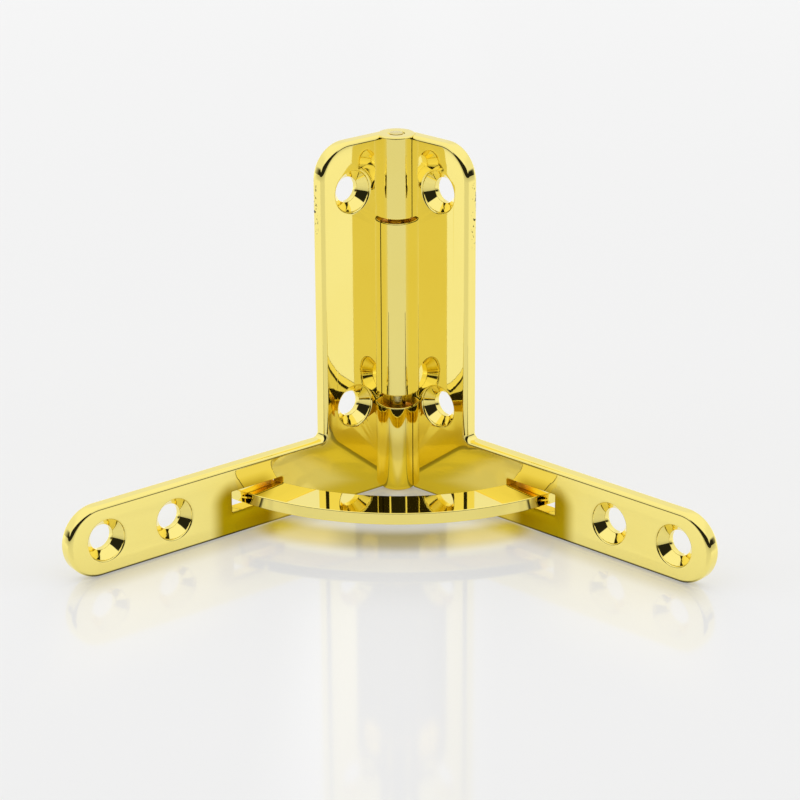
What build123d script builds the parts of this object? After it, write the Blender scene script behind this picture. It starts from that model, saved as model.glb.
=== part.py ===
"""Corner hinge for a small wooden box, with a loose stay that stops the lid just past upright.

It has two L-shaped leaves, one pin and one curved stay. Each leaf is a tall plate beside the pin, for
the box's back rail, with a long low arm square to the pin, for its side rail. The stay runs through a
slot in each arm, and its hooked ends catch behind the arms when the hinge is fully open.
The model stands on its arms' lower edges, open to its stop. Lengths are in millimetres. The pin's axis
is Z, and the middle of the opening faces -Y.
"""
from build123d import *
from math import cos, radians, sin
import os

# Driving sizes of the leaves
opening_angle = 98.0
closed_gap = 0.5
leaf_thickness = 1.85
plate_width = 10.1
plate_height = 41.6
plate_corner_radius = 3.9
arm_length = 44.0
arm_height = 8.0
inner_corner_radius = 0.6
leaf_edge_radius = 0.5

# Knuckles and pin
lower_knuckle_height = 10.1
lower_joint_gap = 1.4
middle_knuckle_height = 20.25
upper_joint_gap = 0.45
joint_rim_chamfer = 0.12
barrel_foot_chamfer = 0.3
knuckle_side_clearance = 0.15
knuckle_end_clearance = 0.2
pin_diameter = 1.8
pin_running_clearance = 0.05
pin_end_chamfer = 0.2

# Countersunk screw holes
screw_hole_diameter = 3.0
countersink_diameter = 5.0
countersink_angle = 90.0
arm_screw_from_tip = 4.7
arm_screw_spacing = 8.7
plate_screw_from_pin = 5.9
plate_screw_from_top = 5.7
plate_screw_spacing = 24.9

# Stay, and the slots that it runs through
stay_reach = 18.0
stay_width = 4.2
stay_thickness = 1.4
stay_droop = 4.3
stay_centre_behind_pin = 12.5
stay_edge_chamfer = 0.1
stay_shift_when_shut = 4.6
hook_depth = 1.5
hook_length = 1.9
hook_corner_radius = 0.5
hook_stop_gap = 0.2
slot_height = 2.4
slot_side_clearance = 0.35
slot_drop_from_middle = 0.1
stay_floor_clearance = 0.03

# Sizes that follow from them
half_angle = radians(opening_angle / 2)
face_offset = closed_gap / 2
knuckle_radius = face_offset + leaf_thickness
arm_middle = arm_height / 2
middle_knuckle_bottom = lower_knuckle_height + lower_joint_gap
middle_knuckle_top = middle_knuckle_bottom + middle_knuckle_height
upper_knuckle_bottom = middle_knuckle_top + upper_joint_gap
stay_outer_radius = stay_reach + stay_centre_behind_pin
stay_inner_radius = stay_outer_radius - stay_width

# The right leaf's inner face: x runs along the arm from the pin, y runs up, z points into the opening.
along_leaf = Vector(sin(half_angle), -cos(half_angle), 0)
into_opening = Vector(-cos(half_angle), -sin(half_angle), 0)
inner_face = Plane(into_opening * -face_offset, x_dir=along_leaf, z_dir=into_opening)

# While the hinge is open the stay lies at the slots' inner ends. As it shuts, the stay slides outwards.
centre_along_arm = stay_centre_behind_pin * cos(half_angle)
centre_behind_face = stay_centre_behind_pin * sin(half_angle) - face_offset
stay_crossing = (stay_inner_radius**2 - centre_behind_face**2) ** 0.5 - centre_along_arm
slot_inner_end = stay_crossing - slot_side_clearance
slot_outer_end = stay_reach + stay_shift_when_shut + slot_side_clearance
slot_middle_height = arm_middle - slot_drop_from_middle
hook_face_depth = face_offset + leaf_thickness + hook_stop_gap
hook_end_depth = hook_face_depth + hook_length

# The stay lies loose in the slots, so it tips: its front edge droops to the level of the slots' floors.
droop = radians(stay_droop)
stay_front_level = slot_middle_height - slot_height / 2 + stay_floor_clearance
stay_underside = Plane(
    (0, 0, stay_front_level + stay_reach * sin(droop)), x_dir=(1, 0, 0), z_dir=(0, -sin(droop), cos(droop))
)

screw_places = [
    (arm_length - arm_screw_from_tip, arm_middle),
    (arm_length - arm_screw_from_tip - arm_screw_spacing, arm_middle),
    (plate_screw_from_pin, plate_height - plate_screw_from_top),
    (plate_screw_from_pin, plate_height - plate_screw_from_top - plate_screw_spacing),
]


def knuckle(bottom, top, lower_chamfer=joint_rim_chamfer, is_upper_end=False):
    """One length of barrel about the pin's axis: its rims are bevelled, but the barrel's top end is round."""
    with BuildPart() as barrel:
        with Locations((0, 0, bottom)):
            Cylinder(knuckle_radius, top - bottom, align=(Align.CENTER, Align.CENTER, Align.MIN))
        lower_rim, upper_rim = barrel.edges().filter_by(GeomType.CIRCLE).sort_by(Axis.Z)
        chamfer(lower_rim, lower_chamfer)
        if is_upper_end:
            fillet(upper_rim, leaf_edge_radius)
        else:
            chamfer(upper_rim, joint_rim_chamfer)
    return barrel.part


def room_for_knuckle(bottom, top):
    """The space that a leaf leaves clear round a knuckle of the other leaf, with some to spare at its ends."""
    with BuildPart() as room:
        with Locations((0, 0, bottom - knuckle_end_clearance)):
            Cylinder(
                knuckle_radius + knuckle_side_clearance,
                top - bottom + 2 * knuckle_end_clearance,
                align=(Align.CENTER, Align.CENTER, Align.MIN),
            )
    return room.part


def opening_wedge(depth):
    """Corners of the triangle between the two arms, reaching this far behind the pin's own planes."""
    apex = Vector(0, depth / sin(half_angle))
    reach = 2 * arm_length
    right = apex + along_leaf * reach
    return [(apex.X, apex.Y), (-right.X, right.Y), (right.X, right.Y)]


os.makedirs("parts", exist_ok=True)

lower_barrel = knuckle(0, lower_knuckle_height, lower_chamfer=barrel_foot_chamfer)
middle_barrel = knuckle(middle_knuckle_bottom, middle_knuckle_top)
upper_barrel = knuckle(upper_knuckle_bottom, plate_height, is_upper_end=True)

# Both leaves start as one L-shaped blank, with polished edges, screw holes and the stay's slot.
with BuildPart() as leaf_blank:
    with BuildSketch(inner_face) as outline:
        Rectangle(arm_length - arm_middle, arm_height, align=(Align.MIN, Align.MIN))
        Rectangle(plate_width, plate_height, align=(Align.MIN, Align.MIN))
        with Locations((arm_length - arm_middle, arm_middle)):
            Circle(arm_middle)
        fillet(outline.vertices().sort_by_distance((plate_width, plate_height))[0], plate_corner_radius)
        fillet(outline.vertices().sort_by_distance((plate_width, arm_height))[0], inner_corner_radius)
    extrude(amount=-leaf_thickness)
    across_leaf = Axis((0, 0, 0), into_opening)
    from_pin = Axis((0, 0, 0), along_leaf)
    back, front = leaf_blank.faces().filter_by(across_leaf).sort_by(across_leaf)
    fillet(front.edges().sort_by(from_pin)[1:] + back.edges().sort_by(from_pin)[1:], leaf_edge_radius)
    with Locations(inner_face):
        with Locations(*screw_places):
            CounterSinkHole(
                screw_hole_diameter / 2, countersink_diameter / 2, counter_sink_angle=countersink_angle
            )
    with BuildSketch(inner_face):
        with Locations(((slot_inner_end + slot_outer_end) / 2, slot_middle_height)):
            Rectangle(slot_outer_end - slot_inner_end, slot_height)
    extrude(amount=-leaf_thickness, mode=Mode.SUBTRACT)

# The right leaf holds the middle knuckle, and is cut back round the left leaf's two.
with BuildPart() as right_leaf:
    add(leaf_blank.part)
    add(room_for_knuckle(0, lower_knuckle_height), mode=Mode.SUBTRACT)
    add(room_for_knuckle(upper_knuckle_bottom, plate_height), mode=Mode.SUBTRACT)
    add(middle_barrel)
    Cylinder(
        pin_diameter / 2 + pin_running_clearance,
        plate_height,
        align=(Align.CENTER, Align.CENTER, Align.MIN),
        mode=Mode.SUBTRACT,
    )

# The left leaf is the blank's mirror image, with the lower and upper knuckles, and grips the pin.
with BuildPart() as left_leaf:
    mirror(leaf_blank.part, about=Plane.YZ)
    add(room_for_knuckle(middle_knuckle_bottom, middle_knuckle_top), mode=Mode.SUBTRACT)
    add(lower_barrel)
    add(upper_barrel)
    Cylinder(
        pin_diameter / 2,
        plate_height,
        align=(Align.CENTER, Align.CENTER, Align.MIN),
        mode=Mode.SUBTRACT,
    )

# The pin runs the whole height of the barrel, flush at both ends.
with BuildPart() as hinge_pin:
    Cylinder(pin_diameter / 2, plate_height, align=(Align.CENTER, Align.CENTER, Align.MIN))
    chamfer(hinge_pin.edges().filter_by(GeomType.CIRCLE), pin_end_chamfer)

# The stay is stamped flat: a curved band, with a hook at each end on the side towards the pin.
with BuildPart() as stay_arc:
    with BuildSketch() as between_hooks:
        with Locations((0, stay_centre_behind_pin)):
            Circle(stay_inner_radius)
        Polygon(*opening_wedge(hook_face_depth), align=None, mode=Mode.INTERSECT)
    with BuildSketch(stay_underside) as stay_outline:
        with Locations((0, stay_centre_behind_pin)):
            Circle(stay_outer_radius)
            Circle(stay_inner_radius - hook_depth, mode=Mode.SUBTRACT)
        Polygon(*opening_wedge(hook_end_depth), align=None, mode=Mode.INTERSECT)
        add(between_hooks.sketch, mode=Mode.SUBTRACT)
        rows = stay_outline.vertices().group_by(Axis.Y)
        fillet(rows[0] + rows[-1] + rows[-2], hook_corner_radius)
    extrude(to_extrude=stay_outline.sketch, amount=stay_thickness)
    flat_faces = stay_arc.faces().filter_by(Axis((0, 0, 0), stay_underside.z_dir))
    chamfer(flat_faces.edges(), stay_edge_chamfer)

left_leaf.part.label = "left_leaf"
right_leaf.part.label = "right_leaf"
hinge_pin.part.label = "hinge_pin"
stay_arc.part.label = "stay_arc"

export_step(left_leaf.part, "parts/left_leaf.step")
export_step(right_leaf.part, "parts/right_leaf.step")
export_step(hinge_pin.part, "parts/hinge_pin.step")
export_step(stay_arc.part, "parts/stay_arc.step")
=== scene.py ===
"""Looks of a polished gold box hinge: two L-shaped leaves, their pin and a curved stay, on a pale table.

The hinge's sizes are in millimetres in the dataclasses and become metres when a mesh is made. Places in
the shading, and the studio's lengths, are in metres. The hinge stands on its arms' lower edges with the
pin's axis on Z, and the middle of the opening faces -Y.
"""
import logging
import math
from dataclasses import dataclass, field
from enum import Enum
from functools import partial, reduce

import bmesh
import bpy
from bmesh.types import BMesh, BMFace
from bpy.types import ID, Material, Node, NodeSocket as Socket, NodeTree, Object
from mathutils import Matrix, Vector


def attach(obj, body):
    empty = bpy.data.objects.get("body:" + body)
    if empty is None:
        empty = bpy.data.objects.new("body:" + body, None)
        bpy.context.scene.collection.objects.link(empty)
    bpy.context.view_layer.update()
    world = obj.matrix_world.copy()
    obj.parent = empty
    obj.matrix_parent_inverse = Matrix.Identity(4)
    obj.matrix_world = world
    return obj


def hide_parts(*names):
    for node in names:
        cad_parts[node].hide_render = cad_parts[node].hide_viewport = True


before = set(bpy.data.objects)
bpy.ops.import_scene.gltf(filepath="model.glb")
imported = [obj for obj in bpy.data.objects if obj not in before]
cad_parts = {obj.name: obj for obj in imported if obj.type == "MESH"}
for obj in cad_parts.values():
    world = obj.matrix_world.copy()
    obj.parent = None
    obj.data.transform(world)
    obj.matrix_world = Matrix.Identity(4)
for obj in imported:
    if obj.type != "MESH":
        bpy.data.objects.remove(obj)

Colour = tuple[float, float, float, float]
Span = tuple[float, float]

LOG = logging.getLogger("box_hinge")
METRES = 0.001
# In millimetres and square millimetres. The Weighted Normal modifier reads the layer.
WELD = 0.0005
SMALLEST_FLAT = 10.0
FACE_STRENGTH = "__mod_weightednormals_faceweight"
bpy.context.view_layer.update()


class Side(Enum):
    """Which leaf, by the sign of its X."""

    LEFT = -1
    RIGHT = 1


@dataclass(frozen=True)
class HingeSizes:
    """The sizes that more than one piece uses, in millimetres."""

    opening_angle: float = 98.0
    closed_gap: float = 0.5
    leaf_thickness: float = 1.85
    plate_height: float = 41.5
    pin_top: float = 41.6
    arm_height: float = 8.0
    edge_rounding: float = 0.5
    lower_knuckle_top: float = 10.1
    middle_knuckle_bottom: float = 11.5
    middle_knuckle_top: float = 31.75
    upper_knuckle_bottom: float = 32.2
    pin_radius: float = 0.9
    barrel_facets: int = 128

    @property
    def half_angle(self) -> float:
        """Half the opening, in radians."""
        return math.radians(self.opening_angle / 2)

    @property
    def face_offset(self) -> float:
        """Distance from the pin's axis to a leaf's inner face."""
        return self.closed_gap / 2

    @property
    def knuckle_radius(self) -> float:
        """Outer radius of the barrel, which is flush with the leaves' backs."""
        return self.face_offset + self.leaf_thickness

    def into_leaf(self, side: Side) -> Vector:
        """Direction square to the inner face, pointing into the leaf's metal."""
        return Vector((side.value * math.cos(self.half_angle), math.sin(self.half_angle), 0.0))

    def on_leaf(self, side: Side, along: float, up: float, depth: float = 0.0) -> Vector:
        """Turn a place on a leaf into a place in the frame.

        Args:
            side: The leaf.
            along: Distance along the leaf from the pin, in millimetres.
            up: Height above the table, in millimetres.
            depth: Distance below the inner face, in millimetres.

        Returns:
            The place in millimetres.
        """
        outward = Vector((side.value * math.sin(self.half_angle), -math.cos(self.half_angle), 0.0))
        flat = outward * along + self.into_leaf(side) * (self.face_offset + depth)
        return Vector((flat.x, flat.y, up))


class Outline:
    """A closed outline in a plane, counter-clockwise, made of straight runs and arcs."""

    def __init__(self) -> None:
        """Start with no points."""
        self.points: list[Vector] = []

    def corner(self, x: float, y: float) -> "Outline":
        """Add a corner point and return the outline."""
        self.points.append(Vector((x, y)))
        return self

    def arc(self, x: float, y: float, radius: float, start: float, end: float, steps: int) -> "Outline":
        """Add an arc.

        Args:
            x: The centre's first coordinate.
            y: The centre's second coordinate.
            radius: The arc's radius.
            start: The first point's angle, in degrees.
            end: The last point's angle, in degrees.
            steps: How many chords the arc has.

        Returns:
            The outline, so that calls can follow one another.
        """
        for k in range(steps + 1):
            angle = math.radians(start + (end - start) * k / steps)
            self.points.append(Vector((x + radius * math.cos(angle), y + radius * math.sin(angle))))
        return self

    def inset(self, distance: float) -> list[Vector]:
        """Move the outline inwards, square to itself.

        Args:
            distance: How far, in millimetres. A negative distance moves it outwards.

        Returns:
            As many points as the outline has.
        """
        moved = []
        for k, here in enumerate(self.points):
            before = (here - self.points[k - 1]).normalized()
            after = (self.points[(k + 1) % len(self.points)] - here).normalized()
            first, second = Vector((-before.y, before.x)), Vector((-after.y, after.x))
            moved.append(here + (first + second) * (distance / (1.0 + first.dot(second))))
        return moved


def placed(name: str, data: ID) -> Object:
    """Put a new object in the scene.

    Args:
        name: The object's name.
        data: Its mesh or camera.

    Returns:
        The object, at the origin.
    """
    made = bpy.data.objects.new(name, data)
    bpy.context.scene.collection.objects.link(made)
    return made


def quarter_round(radius: float, steps: int) -> list[tuple[float, float]]:
    """Steps of a rounded edge, from the face to the side wall.

    Args:
        radius: The rounding's radius.
        steps: How many chords it has.

    Returns:
        Pairs of inset from the outline and depth below the face.
    """
    turns = [math.pi / 2 * k / steps for k in range(steps + 1)]
    return [(radius * (1 - math.sin(turn)), radius * (1 - math.cos(turn))) for turn in turns]


def split_large_faces(skin: BMesh) -> None:
    """Split every face that has more than four corners into triangles."""
    bmesh.ops.triangulate(skin, faces=[face for face in skin.faces if len(face.verts) > 4])


class Shell:
    """A closed skin stitched together from rings that all have the same number of points."""

    def __init__(self) -> None:
        """Start an empty skin."""
        self.skin = bmesh.new()

    def stitch(self, rings: list[list[Vector]]) -> "Shell":
        """Join each ring to the next with four-sided faces, and close both ends.

        Args:
            rings: Rings of points in millimetres. A ring of one point is a pole.

        Returns:
            The shell itself.
        """
        made = [[self.skin.verts.new(point) for point in ring] for ring in rings]
        for low, high in zip(made, made[1:]):
            count = max(len(low), len(high))
            for k in range(count):
                after = (k + 1) % count
                corners = [low[k % len(low)], low[after % len(low)]]
                corners += [high[after % len(high)], high[k % len(high)]]
                distinct = list(dict.fromkeys(corners))
                if len(distinct) > 2:
                    self.skin.faces.new(distinct)
        for ring in (made[0], made[-1]):
            if len(ring) > 2:
                self.skin.faces.new(ring)
        return self

    def turned(self, profile: list[tuple[float, float]], segments: int = 96) -> "Shell":
        """Turn a half-section about Z, as on a lathe.

        Args:
            profile: Pairs of radius and height in millimetres, from one end to the other.
            segments: How many facets go round.

        Returns:
            The shell itself.
        """
        rings = []
        for radius, height in profile:
            turns = [math.tau * k / segments for k in range(segments)] if radius > 0 else [0.0]
            rings.append([
                Vector((radius * math.cos(turn), radius * math.sin(turn), height)) for turn in turns
            ])
        return self.stitch(rings)

    def finished(self, name: str) -> Object:
        """Point the faces outwards and make an object of the skin.

        Args:
            name: The new object's name.

        Returns:
            The object, at the origin.
        """
        self.skin.normal_update()
        split_large_faces(self.skin)
        bmesh.ops.recalc_face_normals(self.skin, faces=self.skin.faces)
        if self.skin.calc_volume(signed=True) < 0:
            bmesh.ops.reverse_faces(self.skin, faces=self.skin.faces)
        mesh = bpy.data.meshes.new(name)
        self.skin.to_mesh(mesh)
        self.skin.free()
        return placed(name, mesh)


class NodeSheet:
    """A node tree that is filled by short calls."""

    def __init__(self, tree: NodeTree) -> None:
        """Keep the tree that the nodes go in."""
        self.tree = tree

    def add(self, kind: str, wires: dict | None = None, **settings: object) -> Node:
        """Add one node.

        Args:
            kind: The node's type name.
            wires: For each input, by name or number, a plain value or the socket that feeds it.
            settings: The node's own options.

        Returns:
            The new node.
        """
        node = self.tree.nodes.new(kind)
        for option, value in settings.items():
            setattr(node, option, value)
        for key, value in (wires or {}).items():
            for feed in value if isinstance(value, list) else [value]:
                if isinstance(feed, Socket):
                    self.tree.links.new(feed, node.inputs[key])
                else:
                    node.inputs[key].default_value = feed
        return node

    def maths(self, operation: str, first: object, second: object = 0.0) -> Socket:
        """Add a Math node with two inputs and return its result."""
        return self.add("ShaderNodeMath", {0: first, 1: second}, operation=operation).outputs[0]

    def times(self, *factors: object) -> Socket:
        """Multiply sockets and numbers."""
        return reduce(partial(self.maths, "MULTIPLY"), factors)

    def plus(self, *terms: object) -> Socket:
        """Add sockets and numbers."""
        return reduce(partial(self.maths, "ADD"), terms)

    def length(self, *parts: object) -> Socket:
        """Length of the line that has these parts square to one another."""
        return self.maths("SQRT", self.plus(*(self.times(part, part) for part in parts)))

    def ramp(self, value: object, low: float, high: float, start: float = 0.0, end: float = 1.0) -> Socket:
        """Add a smooth step.

        Args:
            value: The socket that is read.
            low: The reading where the step begins.
            high: The reading where it ends.
            start: The result below low.
            end: The result above high.

        Returns:
            The step's result.
        """
        wires = {"Value": value, "From Min": low, "From Max": high, "To Min": start, "To Max": end}
        return self.add("ShaderNodeMapRange", wires, interpolation_type="SMOOTHSTEP").outputs[0]

    def fall(self, value: object, low: float, high: float) -> Socket:
        """Add a smooth step down from one to zero."""
        return self.ramp(value, low, high, 1.0, 0.0)

    def within(self, value: object, span: Span, soft: float) -> Socket:
        """One inside a span, falling to zero over a soft margin outside it."""
        low, high = span
        return self.times(self.ramp(value, low - soft, low), self.fall(value, high, high + soft))

    def blend(self, amount: object, first: object, second: object) -> Socket:
        """Blend two colours."""
        wires = {0: amount, 6: first, 7: second}
        return self.add("ShaderNodeMix", wires, data_type="RGBA").outputs[2]


class LeafPlace:
    """Object coordinates read as places on or near a leaf, the same on both sides.

    Attributes:
        point: The Object coordinates.
        aside: Distance from the middle plane.
        y: The frame's Y.
        z: The frame's Z.
    """

    def __init__(self, sheet: NodeSheet) -> None:
        """Add the nodes that every reading needs.

        Args:
            sheet: Where they go.
        """
        self.sheet, self.half = sheet, HingeSizes().half_angle
        self.point = sheet.add("ShaderNodeTexCoord").outputs["Object"]
        x, self.y, self.z = sheet.add("ShaderNodeSeparateXYZ", {0: self.point}).outputs
        self.aside = sheet.maths("ABSOLUTE", x)

    def _turned(self, operation: str, aside: float, back: float) -> Socket:
        """Join the table's two coordinates, each times a number."""
        times = self.sheet.times
        return self.sheet.maths(operation, times(self.aside, aside), times(self.y, back))

    def along(self) -> Socket:
        """Distance from the pin along the leaf."""
        return self._turned("SUBTRACT", math.sin(self.half), math.cos(self.half))

    def into(self) -> Socket:
        """Distance from the plane through the pin towards the leaf's back."""
        return self._turned("ADD", math.cos(self.half), math.sin(self.half))


class GeometryRecipe:
    """A Geometry Nodes tree with named inputs, which ends in Realize Instances and Set Material."""

    KINDS = {float: "NodeSocketFloat", int: "NodeSocketInt", Vector: "NodeSocketVector",
             Object: "NodeSocketObject", Material: "NodeSocketMaterial"}

    def __init__(self, name: str, inputs: dict[str, type]) -> None:
        """Open a tree.

        Args:
            name: The tree's name.
            inputs: The name and type of each input.
        """
        tree = bpy.data.node_groups.new(name, "GeometryNodeTree")
        tree.interface.new_socket("Geometry", in_out="INPUT", socket_type="NodeSocketGeometry")
        tree.interface.new_socket("Geometry", in_out="OUTPUT", socket_type="NodeSocketGeometry")
        for label, kind in {**inputs, "Finish": Material}.items():
            tree.interface.new_socket(label, in_out="INPUT", socket_type=self.KINDS[kind])
        self.sheet = NodeSheet(tree)
        self.given = self.sheet.add("NodeGroupInput").outputs

    def close(self, geometry: Socket) -> None:
        """End the tree with plain faces that carry the finish.

        Args:
            geometry: What the tree has made.
        """
        real = self.sheet.add("GeometryNodeRealizeInstances", {"Geometry": geometry})
        dressed = self.sheet.add(
            "GeometryNodeSetMaterial", {"Geometry": real.outputs[0], "Material": self.given["Finish"]}
        )
        self.sheet.add("NodeGroupOutput", {0: dressed.outputs[0]})

    def bake(self, start: Object, **values: object) -> Object:
        """Run the tree on an object and leave a plain mesh.

        Args:
            start: The object whose mesh goes in, and is replaced by the result.
            values: A value for each input, with underscores for the spaces in its name.

        Returns:
            The same object.
        """
        modifier = start.modifiers.new("recipe", "NODES")
        modifier.node_group = self.sheet.tree
        for socket in self.sheet.tree.interface.items_tree:
            key = socket.name.replace(" ", "_").lower()
            if socket.in_out == "INPUT" and key in values:
                modifier[socket.identifier] = values[key]
        settle(start)
        return start


def settle(made: Object) -> None:
    """Replace an object's mesh by what its modifiers make of it, and remove them.

    Args:
        made: The object.
    """
    made.update_tag()
    bpy.context.view_layer.update()
    graph = bpy.context.evaluated_depsgraph_get()
    mesh = bpy.data.meshes.new_from_object(made.evaluated_get(graph))
    made.modifiers.clear()
    made.data = mesh


def mark_flats(skin: BMesh) -> None:
    """Mark the faces of large flats, whose normals then win over those of the roundings beside them.

    Args:
        skin: The skin in millimetres. It gets the face layer that the Weighted Normal modifier reads.
    """
    strength = skin.faces.layers.int.new(FACE_STRENGTH)
    planes: dict[tuple[float, ...], list[BMFace]] = {}
    for face in skin.faces:
        distance = round(face.normal.dot(face.verts[0].co), 1)
        planes.setdefault((*(round(part, 2) for part in face.normal), distance), []).append(face)
    for faces in planes.values():
        is_flat = sum(face.calc_area() for face in faces) > SMALLEST_FLAT
        for face in faces:
            face[strength] = 1 if is_flat else -1


def polish(made: Object, crease: float = 24.0) -> None:
    """Bring a mesh from millimetres to metres and shade it as buffed metal: flats stay flat.

    Args:
        made: The object to shade.
        crease: Edges sharper than this, in degrees, stay sharp.
    """
    skin = bmesh.new()
    skin.from_mesh(made.data)
    bmesh.ops.remove_doubles(skin, verts=skin.verts, dist=WELD)
    skin.normal_update()
    split_large_faces(skin)
    mark_flats(skin)
    bmesh.ops.scale(skin, verts=skin.verts, vec=(METRES, METRES, METRES))
    skin.to_mesh(made.data)
    skin.free()
    made.data.shade_smooth()
    made.data.set_sharp_from_angle(angle=math.radians(crease))
    weighting = made.modifiers.new("even", "WEIGHTED_NORMAL")
    weighting.keep_sharp = True
    weighting.weight = 80
    weighting.use_face_influence = True
    settle(made)


def discard(*tools: Object) -> None:
    """Remove cutters and other shop tools from the scene."""
    for tool in tools:
        bpy.data.objects.remove(tool, do_unlink=True)


@dataclass(frozen=True)
class MarkAndShadePlaces:
    """Where the plating is marked and where shade is painted on it, in metres. A pair is where a mark or its
    soft edge begins and ends.

    The pits lie along the plates' outer edges. The patch outside each slot is a painted reflection of the
    shaded table under the stay. The raw metal in the barrel's joints and on the slots' walls is rougher, and
    its deeper amber colour is painted shade of these recesses. Where the stay passes a slot at rest, it is
    marked too.
    """

    pit_noise: Span = (0.6, 0.64)
    pit_aside: Span = (0.0082, 0.0085)
    pit_heights: Span = (0.0325, 0.0355)
    pit_margin: float = 0.003
    # The patch places: a painted reflection of the shaded table under the stay, outside each slot.
    reflected_shade_middle: Span = (0.0213, 0.0022)
    reflected_shade_reach: Span = (0.0021, 0.0017)
    reflected_shade_fade: Span = (0.0007, 0.0029)
    face_depths: Span = (-0.0001, 0.00012)
    depth_margin: float = 0.00004
    joint_heights: tuple[Span, Span] = ((0.01005, 0.01155), (0.0317, 0.03225))
    joint_radius: Span = (0.0019, 0.002)
    joint_margin: float = 0.0001
    slot_depths: Span = (0.00014, 0.0017)
    slot_lengths: Span = (0.01606, 0.02298)
    slot_heights: Span = (0.00267, 0.00513)
    slot_margin: float = 0.00005
    slot_polish: Span = (0.0183, 0.0195)


class SharedEffects:
    """Shader node groups that both finishes use, each with its own values."""

    def __init__(self) -> None:
        """Build each group once."""
        self.ripple = self._ripple()
        self.tint = self._tint()
        self.marks_and_shade = self._marks(MarkAndShadePlaces())

    @staticmethod
    def _group(name: str, inputs: dict[str, tuple[str, object]], outputs: dict[str, str]) -> tuple:
        """Open a group with named sockets.

        Args:
            name: The group's name.
            inputs: For each input, its kind and default.
            outputs: For each output, its kind.

        Returns:
            The tree, its sheet, the input node's sockets and the output node.
        """
        tree = bpy.data.node_groups.new(name, "ShaderNodeTree")
        for label, (kind, default) in inputs.items():
            socket = tree.interface.new_socket(label, in_out="INPUT", socket_type=f"NodeSocket{kind}")
            socket.default_value = default
        for label, kind in outputs.items():
            tree.interface.new_socket(label, in_out="OUTPUT", socket_type=f"NodeSocket{kind}")
        sheet = NodeSheet(tree)
        return tree, sheet, sheet.add("NodeGroupInput").outputs, sheet.add("NodeGroupOutput")

    def _ripple(self) -> NodeTree:
        """Slow waves and fine grain that a plated casting keeps under its polish.

        Returns:
            The group, whose output is a normal.
        """
        tree, sheet, given, result = self._group(
            "polished_ripple",
            {"Wave Scale": ("Float", 160.0), "Wave Height": ("Float", 0.02), "Grain Scale": ("Float", 2500.0),
             "Grain Height": ("Float", 0.001)},
            {"Normal": "Vector"},
        )
        place = sheet.add("ShaderNodeTexCoord").outputs["Object"]
        parts = []
        for part, detail in (("Wave", 1.0), ("Grain", 3.0)):
            wires = {"Vector": place, "Scale": given[f"{part} Scale"], "Detail": detail}
            noise = sheet.add("ShaderNodeTexNoise", wires)
            parts.append(sheet.times(noise.outputs["Fac"], given[f"{part} Height"]))
        height = sheet.plus(*parts)
        bump = sheet.add("ShaderNodeBump", {"Height": height, "Distance": METRES, "Strength": 1.0})
        sheet.tree.links.new(bump.outputs["Normal"], result.inputs["Normal"])
        return tree

    def _tint(self) -> NodeTree:
        """Cloudy change of colour and haze across the plating.

        Returns:
            The group, whose outputs are a colour and a roughness.
        """
        tree, sheet, given, result = self._group(
            "plating_clouds",
            {"Colour": ("Color", (1, 1, 1, 1)), "Deep Colour": ("Color", (1, 1, 1, 1)),
             "Scale": ("Float", 90.0), "Clear Roughness": ("Float", 0.03), "Hazy Roughness": ("Float", 0.08)},
            {"Colour": "Color", "Roughness": "Float"},
        )
        place = sheet.add("ShaderNodeTexCoord").outputs["Object"]
        cloud = sheet.add("ShaderNodeTexNoise", {"Vector": place, "Scale": given["Scale"], "Detail": 4.0})
        amount = sheet.ramp(cloud.outputs["Fac"], 0.4, 0.7)
        mixed = sheet.blend(amount, given["Colour"], given["Deep Colour"])
        haze = sheet.add(
            "ShaderNodeMix", {0: amount, 2: given["Clear Roughness"], 3: given["Hazy Roughness"]}
        )
        sheet.tree.links.new(mixed, result.inputs["Colour"])
        sheet.tree.links.new(haze.outputs[0], result.inputs["Roughness"])
        return tree

    def _marks(self, spots: MarkAndShadePlaces) -> NodeTree:
        """Build the marks and the painted shade in the plating, which keep their places on the hinge.

        Args:
            spots: Where they are.

        Returns:
            The group. Its outputs are the small dark pits along the plates' outer upright edges, the painted
            reflection of shade outside the stay's slots, and the raw metal inside the joints and slots, whose
            amber is painted shade.
        """
        tree, sheet, given, result = self._group(
            "plating_marks", {"Pit Scale": ("Float", 2600.0), "Amount": ("Float", 1.0)},
            {"Pits": "Float", "Patches": "Float", "Raw": "Float"},
        )
        place = LeafPlace(sheet)
        along = place.along()
        depth = sheet.maths("SUBTRACT", place.into(), HingeSizes().face_offset * METRES)

        def beyond(value: Socket, middle: float, reach: float) -> Socket:
            """How far a coordinate lies outside a span."""
            off = sheet.maths("ABSOLUTE", sheet.maths("SUBTRACT", value, middle))
            return sheet.maths("MAXIMUM", sheet.maths("SUBTRACT", off, reach), 0.0)

        noise = sheet.add(
            "ShaderNodeTexNoise", {"Vector": place.point, "Scale": given["Pit Scale"], "Detail": 2.0}
        )
        pits = sheet.times(
            sheet.ramp(noise.outputs["Fac"], *spots.pit_noise), sheet.ramp(place.aside, *spots.pit_aside),
            sheet.within(place.z, spots.pit_heights, spots.pit_margin),
        )
        # Painted reflection of the shaded table under the stay, on the inner face round each slot.
        away = sheet.length(*(
            beyond(value, middle, reach)
            for value, middle, reach in zip((along, place.z), spots.reflected_shade_middle, spots.reflected_shade_reach)
        ))
        reflected_shade = sheet.times(
            sheet.fall(away, *spots.reflected_shade_fade), sheet.within(depth, spots.face_depths, spots.depth_margin)
        )
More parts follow.
